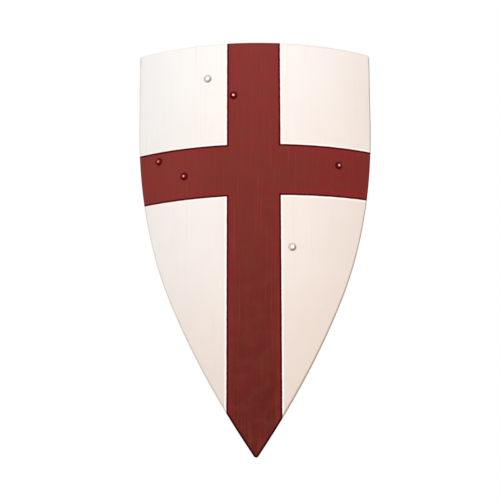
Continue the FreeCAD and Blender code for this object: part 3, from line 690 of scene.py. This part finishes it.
def bottom_point(along):
    """Point of the lower outline and its outward normal."""
    side = abs(along)
    centre, radius, _ = next(arc for arc in LOWER_ARCS if side >= arc[2] - 1e-9)
    across = min(side - centre.x, radius)
    down = math.sqrt(max(radius**2 - across**2, 0))
    normal = Vector((across, -down)) / radius
    point = centre + normal * radius
    point.x, normal.x = math.copysign(point.x, along), math.copysign(normal.x, along)
    return point, normal


def top_point(along):
    """Point of the top edge or its corner round, and its outward normal."""
    over = abs(along) - (HALF_WIDTH - CORNER_ROUND)
    if over <= 0:
        return Vector((along, TOP_RISE)), Vector((0, 1))
    up = math.sqrt(max(CORNER_ROUND**2 - over**2, 0))
    normal = Vector((math.copysign(over, along), up)) / CORNER_ROUND
    return Vector((along, TOP_RISE - CORNER_ROUND + up)), normal


def columns():
    """Distances along the face at which the board is ruled upright, close at the sides and the tip."""
    found = {HALF_WIDTH * math.sin(math.pi / 2 * share) for share in shares(90, 0)}
    found |= {TIP_ROUND * 0.9 * share for share in shares(8, 0)}
    return sorted({-x for x in found} | found)


def rounded_rim(softness, radius, inwards):
    """Levels of a rim from the sheet's skin to its edge, as (inset, radius)."""
    if not softness:
        return [(0.0, radius)]
    turns = [math.pi / 2 * share for share in shares(6, 0)]
    levels = [(softness * (1 - math.sin(a)), radius + inwards * softness * (1 - math.cos(a))) for a in turns]
    return [(softness + RIM_BAND, radius)] + levels


def ply(name, outer, inner, outer_round=0.0, inner_round=0.0):
    """One bent sheet between two radii, with rounded rims, as rings joined round the edge."""
    along = columns()
    edge = [top_point(a) for a in along] + [bottom_point(a) for a in reversed(along)]
    levels = rounded_rim(outer_round, outer, -1) + rounded_rim(inner_round, inner, 1)[::-1]
    vertices, uvs, rim_uvs = [], [], []
    for inset, radius in levels:
        for point, normal in edge:
            spot = point - normal * inset
            vertices.append(on_board(spot.x, spot.y, radius))
            uvs.append((spot.x, spot.y))
            rim_uvs.append((inset, FACE_RADIUS - radius))
    size, last = len(edge), len(levels) - 1
    faces = [face for i in range(last) for face in wall(i * size, (i + 1) * size, size)]
    for base in (0, last * size):
        for k in range(len(along) - 1):
            faces.append((base + k, base + k + 1, base + size - 2 - k, base + size - 1 - k))
    obj = new_object(name, vertices, faces)
    set_uv(obj, uvs)
    set_uv(obj, rim_uvs, "rim")
    return outside_out(obj)


def build_board():
    first, second, _ = PLIES
    front = give(ply("painted_ply", FACE_RADIUS, FACE_RADIUS - first, outer_round=FACE_EDGE_ROUND), FACE)
    core = give(ply("middle_ply", FACE_RADIUS - first, FACE_RADIUS - first - second), RIM_WOOD)
    back = give(ply("veneered_ply", FACE_RADIUS - first - second, INNER_RADIUS,
                    inner_round=BACK_EDGE_ROUND), BACK_VENEER)
    for obj, node in ((front, "front_ply"), (core, "core_ply"), (back, "back_ply")):
        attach(obj, "board")
        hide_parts(node)


build_board()


# Bolts, washers and cap nuts


def seat(name, lift=0.0):
    along, rise, _ = BOLTS[name]
    leather = STRAPS[name.split("_")[0]]["leather"]
    height = leather - BEDDING - WASHER_BEDDING + lift
    return square_frame(on_board(along, rise, INNER_RADIUS - height), sideways(along), -outward(along))


def bolt_head(name):
    along, rise, in_red = BOLTS[name]
    matrix = square_frame(on_board(along, rise, FACE_RADIUS - HEAD_BEDDING), sideways(along), outward(along))
    end = -sum(PLIES) - THREAD_REACH
    profile = [(0, end), (SHANK_RADIUS, end), (SHANK_RADIUS, 0), (HEAD_RADIUS - HEAD_FOOT_SOFTNESS, 0),
               (HEAD_RADIUS, HEAD_FOOT_SOFTNESS), (HEAD_RADIUS, HEAD_RIM - HEAD_RIM_SOFTNESS)]
    cap = HEAD_HEIGHT - HEAD_RIM
    sphere = (HEAD_RADIUS**2 + cap**2) / (2 * cap)
    for share in shares(10, 0)[:-1]:
        angle = math.asin(HEAD_RADIUS / sphere) * (1 - share)
        profile.append((sphere * math.sin(angle), HEAD_HEIGHT - sphere * (1 - math.cos(angle))))
    profile.append((0, HEAD_HEIGHT))
    obj = give(lathe("painted_bolt_" + name, profile, matrix), RED_HEAD if in_red else WHITE_HEAD)
    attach(obj, "board")
    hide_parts("bolt_" + name)


def flat_ring(name):
    bore, outer, top, soft = WASHER_BORE, WASHER_RADIUS, WASHER_THICKNESS, METAL_SOFTNESS
    profile = [(bore, 0), (outer - soft, 0), (outer, soft), (outer, top - soft), (outer - soft, top),
               (bore + soft, top), (bore, top - soft), (bore, 0)]
    obj = give(lathe("plated_washer_" + name, profile, seat(name), merged=True), ZINC)
    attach(obj, "board")
    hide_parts("washer_" + name)


def domed_nut(name):
    """Hexagon with turned-down corners and a dome."""
    matrix = seat(name, WASHER_THICKNESS)
    flat, sixth = NUT_FLATS / 2, math.pi / 3
    corner = flat / math.cos(sixth / 2)
    levels = [(0, flat), (NUT_FOOT, corner), (NUT_HEX_HEIGHT - NUT_SHOULDER, corner), (NUT_HEX_HEIGHT, flat)]
    sphere = (NUT_DOME_RADIUS**2 + NUT_DOME_HEIGHT**2) / (2 * NUT_DOME_HEIGHT)
    steps, turns = 9, 48
    for i in range(steps + 1):
        angle = math.asin(NUT_DOME_RADIUS / sphere) * (1 - i / (steps + 0.4))
        levels.append((NUT_HEX_HEIGHT + NUT_DOME_HEIGHT - sphere * (1 - math.cos(angle)),
                       sphere * math.sin(angle)))
    rings = []
    for height, limit in levels:
        ring = []
        for k in range(turns):
            angle = math.tau * k / turns
            sector = (angle + sixth / 2) % sixth - sixth / 2
            # the hexagon or the circle, whichever is smaller, as a turned hexagon bar is
            radius = min(flat / math.cos(sector), limit)
            angle += sixth / 2
            ring.append(matrix @ Vector((radius * math.cos(angle), radius * math.sin(angle), height)))
        rings.append(ring)
    obj = give(sweep("plated_nut_" + name, rings), ZINC)
    edges = obj.modifiers.new("edges", "EDGE_SPLIT")
    edges.split_angle = math.radians(32)
    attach(obj, "board")
    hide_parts("cap_nut_" + name)


for bolt_name in BOLTS:
    bolt_head(bolt_name)
    flat_ring(bolt_name)
    domed_nut(bolt_name)


# Leather straps


def spot_at(centre, travel, width_dir):
    """A section's centre with its square directions."""
    travel = travel.normalized()
    across = (width_dir - travel * width_dir.dot(travel)).normalized()
    return SimpleNamespace(centre=centre, travel=travel, across=across, up=travel.cross(across))


class StrapLine:
    """The line of a strap over the board, from its upper bolt to its lower one."""

    def __init__(self, key):
        self.first = Vector(BOLTS[key + "_upper"][:2])
        self.last = Vector(BOLTS[key + "_lower"][:2])
        self.span = (self.last - self.first).length
        self.course = (self.last - self.first).normalized()
        self.__dict__.update(STRAPS[key])

    def spot(self, travelled, height, slope):
        place = self.first + self.course * travelled
        radius = INNER_RADIUS - height
        side, out = sideways(place.x), outward(place.x)
        flat = side * (self.course.x * radius / FACE_RADIUS) + Vector((0, 0, self.course.y))
        travel = flat * math.cos(slope) - out * math.sin(slope)
        width_dir = side * self.course.y - Vector((0, 0, self.course.x))
        return spot_at(on_board(place.x, place.y, radius), travel, width_dir)

    def half(self, flank):
        """From the strap's end to the start of the crown, as (distance, height, slope)."""
        base = self.leather / 2 - BEDDING
        end = self.width / 2
        found = [(-end * math.cos(math.pi / 2 * share), base, 0) for share in shares(10, 0)[:-1]]
        found += [(0, base, 0), (self.foot / 2, base, 0)]
        for share in shares(max(int(self.bend * self.turn / STEP), 8), 0):
            angle = self.turn * share
            found.append((self.foot + self.bend * math.sin(angle),
                          base + self.bend * (1 - math.cos(angle)), angle))
        x, h, _ = found[-1]
        run, climb = flank * math.cos(self.turn), flank * math.sin(self.turn)
        found += [(x + run * share, h + climb * share, self.turn)
                  for share in shares(max(int(flank / STEP), 2))[:-1]]
        for share in shares(int(self.crown * self.turn / STEP), 0):
            angle = self.turn * (1 - share)
            found.append((x + run + self.crown * (math.sin(self.turn) - math.sin(angle)),
                          h + climb + self.crown * (math.cos(angle) - math.cos(self.turn)), angle))
        return found


def rounded_section(spot, width, thickness):
    """Ring of a strap's section with soft edges, and the distance across at each of its points."""
    radius = min(thickness * STRAP_EDGE[0], width * STRAP_EDGE[1])
    side, level = width / 2 - radius, thickness / 2 - radius
    turns = quarter_turns(-side, side, -level, level, 3, first=-1)
    points = [(x + radius * cos, y + radius * sin) for x, y, cos, sin in turns]
    return [spot.centre + spot.across * x + spot.up * y for x, y in points], [x for x, _ in points]


def strip(name, spots, widths, thickness):
    """A strap through the given sections; the map holds its length and the distance across."""
    rings, uvs = [], []
    length = 0.0
    for i, (spot, width) in enumerate(zip(spots, widths)):
        if i:
            length += (spot.centre - spots[i - 1].centre).length
        ring, across = rounded_section(spot, max(width, SLIMMEST), thickness)
        rings.append(ring)
        uvs.append([(length, a) for a in across])
    return sweep(name, rings, uvs)


def end_width(distance, width):
    """Width at a distance from the bolt towards the strap's rounded end."""
    if distance >= 0:
        return width
    return 2 * math.sqrt(max((width / 2) ** 2 - distance**2, 0))


def hinge_points(line):
    """Points low and high in the strap's bends, between which the leather turns."""
    middle, rise = (line.first + line.last) / 2
    return [on_board(middle, rise, INNER_RADIUS - height) for height in (HINGE_LOW, HINGE_HIGH)]


def hand_strap(key):
    line = StrapLine(key)
    half = line.half(line.flank)
    x, h, _ = half[-1]
    crown = [(x + (line.span - 2 * x) * share, h, 0)
             for share in shares(int((line.span / 2 - x) * 2 / STEP))[:-1]]
    places = half + crown + [(line.span - d, height, -slope) for d, height, slope in reversed(half)]
    ends = [end_width(d, line.width) for d, _, _ in half]
    widths = ends + [line.width] * len(crown) + ends[::-1]
    obj = give(strip(key + "_leather", [line.spot(*p) for p in places], widths, line.leather), HAND_LEATHER)
    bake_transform(obj)
    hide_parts(key + "_strap_loop", key + "_strap_upper_end", key + "_strap_lower_end")


hand_strap("grip")
hand_strap("wrist")


# The forearm strap and its buckle

ARM = StrapLine("arm")
LEATHER = ARM.leather
BAR_HEIGHT = -(LEATHER + LAYER_GAP) / 2
WRAP_RADIUS = (WIRE + LEATHER + LAYER_GAP) / 2
TAIL_HEIGHT = BAR_HEIGHT + WRAP_RADIUS + LEATHER + LAYER_GAP
REST_HEIGHT = LEATHER + LAYER_GAP
ROLLER_RADIUS = WIRE / 2 + ROLLER_CLEARANCE + ROLLER_WALL
ROLLER_HEIGHT = TAIL_HEIGHT + LEATHER / 2 + LAYER_GAP + ROLLER_RADIUS
FRAME_TILT = math.asin((ROLLER_HEIGHT - BAR_HEIGHT) / FRAME_REACH)
BUCKLE_HALF = ARM.half(ARM.flank)
TAIL_HALF = ARM.half(ARM.flank + TAIL_HEIGHT / math.sin(ARM.turn))
CROWN_DISTANCE, CROWN_HEIGHT, _ = BUCKLE_HALF[-1]
CROWN_SPOT = ARM.spot(ARM.span / 2, CROWN_HEIGHT, 0)
CROWN = square_frame(CROWN_SPOT.centre + CROWN_SPOT.travel * HEEL_PLACE, CROWN_SPOT.travel, CROWN_SPOT.up)
CROWN_START = CROWN_DISTANCE - ARM.span / 2 - HEEL_PLACE
CROWN_FINISH = ARM.span / 2 - HEEL_PLACE - CROWN_DISTANCE
BUCKLE = CROWN @ Matrix.Translation((0, 0, BAR_HEIGHT)) @ Matrix.Rotation(-FRAME_TILT, 4, "Y")


def crown_spot(x, z, slope):
    turn = CROWN.to_3x3()
    return spot_at(CROWN @ Vector((x, 0, z)), turn @ Vector((math.cos(slope), 0, math.sin(slope))),
                   CROWN_SPOT.across)


def eased(first, last, share):
    """Height on a smooth step between two levels."""
    return first + (last - first) * share * share * (3 - 2 * share)


def eased_slope(rise, run, share):
    return math.atan2(rise * 6 * share * (1 - share), run)


def oblong_tool(centre_x, length, width, low, high):
    """A long hole's cutter, placed on the crown."""
    ring = []
    for side, start in ((1, -math.pi / 2), (-1, math.pi / 2)):
        for share in shares(10, 0):
            angle = start + math.pi * share
            ring.append((centre_x + side * (length - width) / 2 + width / 2 * math.cos(angle),
                         width / 2 * math.sin(angle)))
    return sweep("cutter", [[CROWN @ Vector((x, y, z)) for x, y in ring] for z in (low, high)])


def chape():
    """Buckle side: up from the upper bolt, along the crown, over the heel bar and back under itself."""
    level, swell, back = SLOT_REACH, WRAP_RADIUS + BAR_HEIGHT, 2 * BAR_HEIGHT
    places = [(CROWN_START - (level + CROWN_START) * share, 0, 0) for share in shares(5)]
    places += [(level * (share - 1), eased(0, swell, share), eased_slope(swell, level, share))
               for share in shares(5)[:-1]]
    for share in shares(20, 0):
        turn = math.pi * share
        places.append((WRAP_RADIUS * math.sin(turn), BAR_HEIGHT + WRAP_RADIUS * math.cos(turn), -turn))
    places += [(-level * share, eased(back - swell, back, share), math.pi - eased_slope(swell, level, share))
               for share in shares(5)]
    places += [(-level + (level - CHAPE_RETURN) * share, back, math.pi) for share in shares(5)]
    spots = [ARM.spot(*p) for p in BUCKLE_HALF] + [crown_spot(*p) for p in places]
    widths = [end_width(p[0], ARM.width) for p in BUCKLE_HALF] + [ARM.width] * len(places)
    obj = strip("buckle_side_leather", spots, widths, LEATHER)
    wrap = 4 * WRAP_RADIUS
    slot = oblong_tool((wrap - SLOT_REACH) / 2, SLOT_REACH + wrap, SLOT_WIDTH,
                       BAR_HEIGHT - 3 * WRAP_RADIUS, BAR_HEIGHT + 3 * WRAP_RADIUS)
    give(cut(obj, slot), ARM_LEATHER)
    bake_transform(obj)
    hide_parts("arm_strap_upper_end", "arm_strap_buckle_side")


def tail():
    """From the lower bolt under the roller, over the heel bar and down along the chape to its point."""
    spots = [ARM.spot(ARM.span - d, h, -slope) for d, h, slope in TAIL_HALF[:-1]]
    spots = [spot_at(spot.centre, -spot.travel, spot.across) for spot in spots]
    widths = [end_width(p[0], ARM.width) for p in TAIL_HALF[:-1]]
    places = [(CROWN_FINISH * (1 - share), TAIL_HEIGHT, math.pi) for share in shares(12)]
    drop = TAIL_HEIGHT - REST_HEIGHT
    places += [(KEEPER_PLACE * share, eased(TAIL_HEIGHT, REST_HEIGHT, share),
                math.pi + eased_slope(drop, -KEEPER_PLACE, share)) for share in shares(12)]
    spots += [crown_spot(*p) for p in places]
    widths += [ARM.width] * len(places)
    for share in shares(24, 0):
        past = TAIL_TIP * share
        lift = REST_HEIGHT + TAIL_LIFT * share
        turn = past / (ARM.crown + lift)
        under = ARM.spot(CROWN_DISTANCE - ARM.crown * math.sin(turn),
                         CROWN_HEIGHT - ARM.crown * (1 - math.cos(turn)), turn)
        spots.append(spot_at(under.centre + under.up * lift, -under.travel, under.across))
        # the end is cut round
        widths.append(end_width(TAIL_TIP - past - ARM.width / 2, ARM.width))
    obj = strip("tail_leather", spots, widths, LEATHER)
    low, high = LEATHER / 2 + LAYER_GAP / 2, TAIL_HEIGHT + 3 * LEATHER
    holes = [oblong_tool(TAIL_HOLE_PLACE + k * TAIL_HOLE_PITCH, TAIL_HOLE_LENGTH, TAIL_HOLE_WIDTH, low, high)
             for k in (-1, 0, 1)]
    give(cut(obj, *holes), ARM_LEATHER)
    low, high = hinge_points(ARM)
    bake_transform(obj)
    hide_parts("arm_strap_lower_end", "arm_strap_tail")


def wire_rings(path, upright, turns, closed=False):
    """Rings of round wire along (centre, radius) in the buckle's frame, square to the upright direction."""
    rings, last = [], len(path) - 1
    for i, (centre, radius) in enumerate(path):
        before, after = (i - 1, (i + 1) % len(path)) if closed else (max(i - 1, 0), min(i + 1, last))
        side = (path[after][0] - path[before][0]).normalized().cross(upright)
        rings.append([BUCKLE @ point for point in circle(centre, side, upright, radius, turns)])
    return rings


def wire_frame():
    corner, half = FRAME_CORNER, (FRAME_INNER_WIDTH + WIRE) / 2 - FRAME_CORNER
    turns = quarter_turns(corner, FRAME_REACH - corner, -half, half, 8)
    path = [(Vector((x, y, 0)) + Vector((cos, sin, 0)) * corner, WIRE / 2) for x, y, cos, sin in turns]
    rings = wire_rings(path, Vector((0, 0, 1)), 20, closed=True)
    obj = give(sweep("buckle_wire", rings, closed=True), NICKEL)
    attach(obj, "buckle_frame")
    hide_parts("buckle_frame")


def roller():
    inner, outer = WIRE / 2 + ROLLER_CLEARANCE, ROLLER_RADIUS
    half, soft = ROLLER_LENGTH / 2, METAL_SOFTNESS
    place = BUCKLE @ Matrix.Translation((FRAME_REACH, 0, 0)) @ Matrix.Rotation(math.pi / 2, 4, "X")
    profile = [(inner, -half), (outer - soft, -half), (outer, -half + soft), (outer, half - soft),
               (outer - soft, half), (inner, half), (inner, -half)]
    obj = give(lathe("buckle_sleeve", profile, place, merged=True), NICKEL)
    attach(obj, "buckle_roller")
    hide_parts("buckle_roller")


def tongue():
    """A loop closed round the heel bar that runs on as a straight pin over the roller."""
    ring_radius = WIRE / 2 + TONGUE_CLEARANCE + TONGUE_RADIUS
    rest_radius = ROLLER_RADIUS + TONGUE_CLEARANCE + TONGUE_RADIUS
    lean = math.asin((rest_radius - ring_radius) / FRAME_REACH)
    path = []
    for share in shares(30, 0):
        angle = math.pi / 2 + lean + TONGUE_LOOP * (1 - share)
        path.append((Vector((math.cos(angle), 0, math.sin(angle))) * ring_radius, TONGUE_RADIUS))
    start, _ = path[-1]
    course = Vector((math.cos(lean), 0, math.sin(lean)))
    length = FRAME_REACH * math.cos(lean) + TONGUE_OVERHANG
    for share in shares(16):
        path.append((start + course * length * share, TONGUE_RADIUS * (1 - TONGUE_TAPER * share)))
    (end, tip), steps = path[-1], 5
    for i in range(1, steps + 1):
        turn = math.pi / 2 * i / (steps + 0.3)
        path.append((end + course * tip * math.sin(turn), tip * math.cos(turn)))
    obj = give(sweep("buckle_pin", wire_rings(path, Vector((0, 1, 0)), 16)), NICKEL)
    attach(obj, "buckle_tongue")
    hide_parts("buckle_tongue")


def keeper():
    """Leather loop round the chape and the tail."""
    half = ARM.width / 2 + KEEPER_CLEARANCE
    low = 2 * BAR_HEIGHT - LEATHER / 2
    slope_middle = KEEPER_PLACE / 2
    share_up = (KEEPER_PLACE + KEEPER_LENGTH / 2 - CROWN_START) / (slope_middle - CROWN_START)
    high = REST_HEIGHT + (TAIL_HEIGHT - REST_HEIGHT) / 2 * share_up + LEATHER / 2 + KEEPER_CLEARANCE
    radius = KEEPER_WALL / 2
    rings, uvs = [], []
    length, last = 0.0, None
    for y, z, cos, sin in quarter_turns(-half, half, low, high, 6):
        out = Vector((0, cos, sin))
        centre = Vector((KEEPER_PLACE, y, z)) + out * radius
        spot = SimpleNamespace(centre=centre, across=Vector((1, 0, 0)), up=out)
        ring, across = rounded_section(spot, KEEPER_LENGTH, KEEPER_WALL)
        length += (centre - last).length if rings else 0.0
        last = centre
        rings.append([CROWN @ point for point in ring])
        uvs.append([(length, a) for a in across])
    obj = give(sweep("keeper_leather", rings, uvs, closed=True), KEEPER_LEATHER)
    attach(obj, "arm_strap")
    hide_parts("arm_strap_keeper")


def stitch(start, end, out):
    """Rings of one stitch: a thread that rises out of its hole and goes back in."""
    rings = []
    across = (end - start).normalized().cross(out)
    for share in shares(8, 0):
        lift = THREAD_RADIUS * (1.1 * math.sin(math.pi * share) - 0.5)
        wide = THREAD_RADIUS * (0.45 + 0.55 * math.sin(math.pi * min(max(share, 0.08), 0.92)))
        rings.append(circle(start.lerp(end, share) + out * lift, across, out, wide, 8))
    return rings


def chape_stitches():
    """Two rows that hold the fold round the heel bar, on the side towards the arm."""
    level = 2 * BAR_HEIGHT - LEATHER / 2
    along = Vector((0, STITCH_LENGTH / 2, 0))
    vertices, faces = [], []
    for side in (-1, 1):
        for k in range(3):
            middle = Vector((STITCH_PLACE, side * (STITCH_FIRST + k * STITCH_PITCH), level))
            rings = stitch(middle - along, middle + along, Vector((0, 0, -1)))
            faces += sweep_faces(len(rings), len(rings[0]), base=len(vertices))
            vertices += [CROWN @ point for ring in rings for point in ring]
    obj = give(outside_out(new_object("chape_stitches", vertices, faces)), THREAD)
    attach(obj, "arm_strap")


chape()
tail()
wire_frame()
roller()
tongue()
keeper()
chape_stitches()


# Studio: a pale floor well below the shield, four soft lamps, and the camera

FLOOR_RISE = -1.15
FLOOR_HALF = 6
AIM = Vector((-9.65, -30, -144.67)) * MM
DISTANCE = 2.3876
AZIMUTH = math.radians(0.467)
ELEVATION = math.radians(-10.847)
ROLL = math.radians(-0.204)
SCALE_AT_AIM = 1.8193 * MM
IMAGE_SIDE = 500
SENSOR = 36


def camera():
    back = Vector((math.sin(AZIMUTH) * math.cos(ELEVATION), -math.cos(AZIMUTH) * math.cos(ELEVATION),
                   math.sin(ELEVATION)))
    right = Vector((0, 0, 1)).cross(back).normalized()
    up = back.cross(right)
    right, up = (right * math.cos(ROLL) + up * math.sin(ROLL), up * math.cos(ROLL) - right * math.sin(ROLL))
    data = bpy.data.cameras.new("camera")
    data.sensor_width = SENSOR
    data.lens = DISTANCE / SCALE_AT_AIM / IMAGE_SIDE * SENSOR
    data.clip_end = 50
    obj = linked("camera", data)
    place = [aim + away * DISTANCE for aim, away in zip(AIM, back)]
    obj.matrix_world = placed(place, right, up, back)
    bpy.context.scene.camera = obj


LIGHT_AIM = Vector((0, 0, -0.1))
# name: place, side, watts, colour
LIGHTS = {
    "key": ((-0.9, -2.3, 1.1), 1.6, 20, (1, 0.985, 0.975)),
    "fill": ((1.7, -1.9, 0.6), 1.6, 17, (1, 0.92, 0.885)),
    "flash": ((-0.05, -2.4, 0.0), 0.16, 6.8, (1, 0.985, 0.975)),
    "behind": ((0.8, 2.2, 1.2), 1.6, 38, (1, 0.98, 0.95)),
}
SKY = (1, 0.985, 0.965, 1)
SKY_STRENGTH = 0.535
WHITE = (1, 1, 1, 1)
# the floor's glow near the middle and far away, and the distances between which it changes
GLOW = (0.35, 0.65)
GLOW_REACH = (1.0, 3.5)


def area_light(name, place, side, watts, colour):
    data = bpy.data.lights.new(name, "AREA")
    data.shape = "SQUARE"
    data.size = side
    data.energy = watts
    data.color = colour
    obj = linked(name, data)
    obj.location = place
    obj.rotation_euler = (LIGHT_AIM - Vector(place)).to_track_quat("-Z", "Y").to_euler()


def white_to_camera(tree):
    """Light for everything but the camera and mirrors, which see plain white."""
    n = Nodes(tree)
    path = n.node("ShaderNodeLightPath")
    seen = path.outputs["Is Camera Ray"]
    for ray in ("Is Glossy Ray", "Is Transmission Ray"):
        seen = n.math("MAXIMUM", seen, path.outputs[ray])
    lit = n.filled("ShaderNodeBackground", (SKY, SKY_STRENGTH))
    white = n.filled("ShaderNodeBackground", (WHITE, 1))
    n.feed(tree.nodes["World Output"].inputs[0], n.filled("ShaderNodeMixShader", (seen, lit, white)))


def floor_material():
    """Pale paint that the camera sees brighter than it is lit, white far away, and through from below."""
    n = Surface("floor_paint", Roughness=0.8, Base_Color=(0.86, 0.86, 0.86, 1), Emission_Color=WHITE)
    seen = n.node("ShaderNodeLightPath").outputs["Is Camera Ray"]
    n.paint("Emission Strength", n.times(seen, n.range(n.size(n.place()), *GLOW_REACH, *GLOW)))
    below = n.node("ShaderNodeNewGeometry").outputs["Backfacing"]
    clear = n.node("ShaderNodeBsdfTransparent").outputs[0]
    shown = n.filled("ShaderNodeMixShader", (n.times(seen, below), n.shader.outputs[0], clear))
    n.feed(n.tree.nodes["Material Output"].inputs[0], shown)
    return n.material


def studio():
    corners = [(x * FLOOR_HALF, y * FLOOR_HALF, FLOOR_RISE) for x, y in ((-1, -1), (1, -1), (1, 1), (-1, 1))]
    floor = give(new_object("floor", corners, [(0, 1, 2, 3)]), floor_material())
    world = bpy.data.worlds.new("studio")
    bpy.context.scene.world = world
    world.use_nodes = True
    white_to_camera(world.node_tree)
    for name, settings in LIGHTS.items():
        area_light(name, *settings)


camera()
studio()
bpy.context.scene.view_settings.view_transform = "Standard"
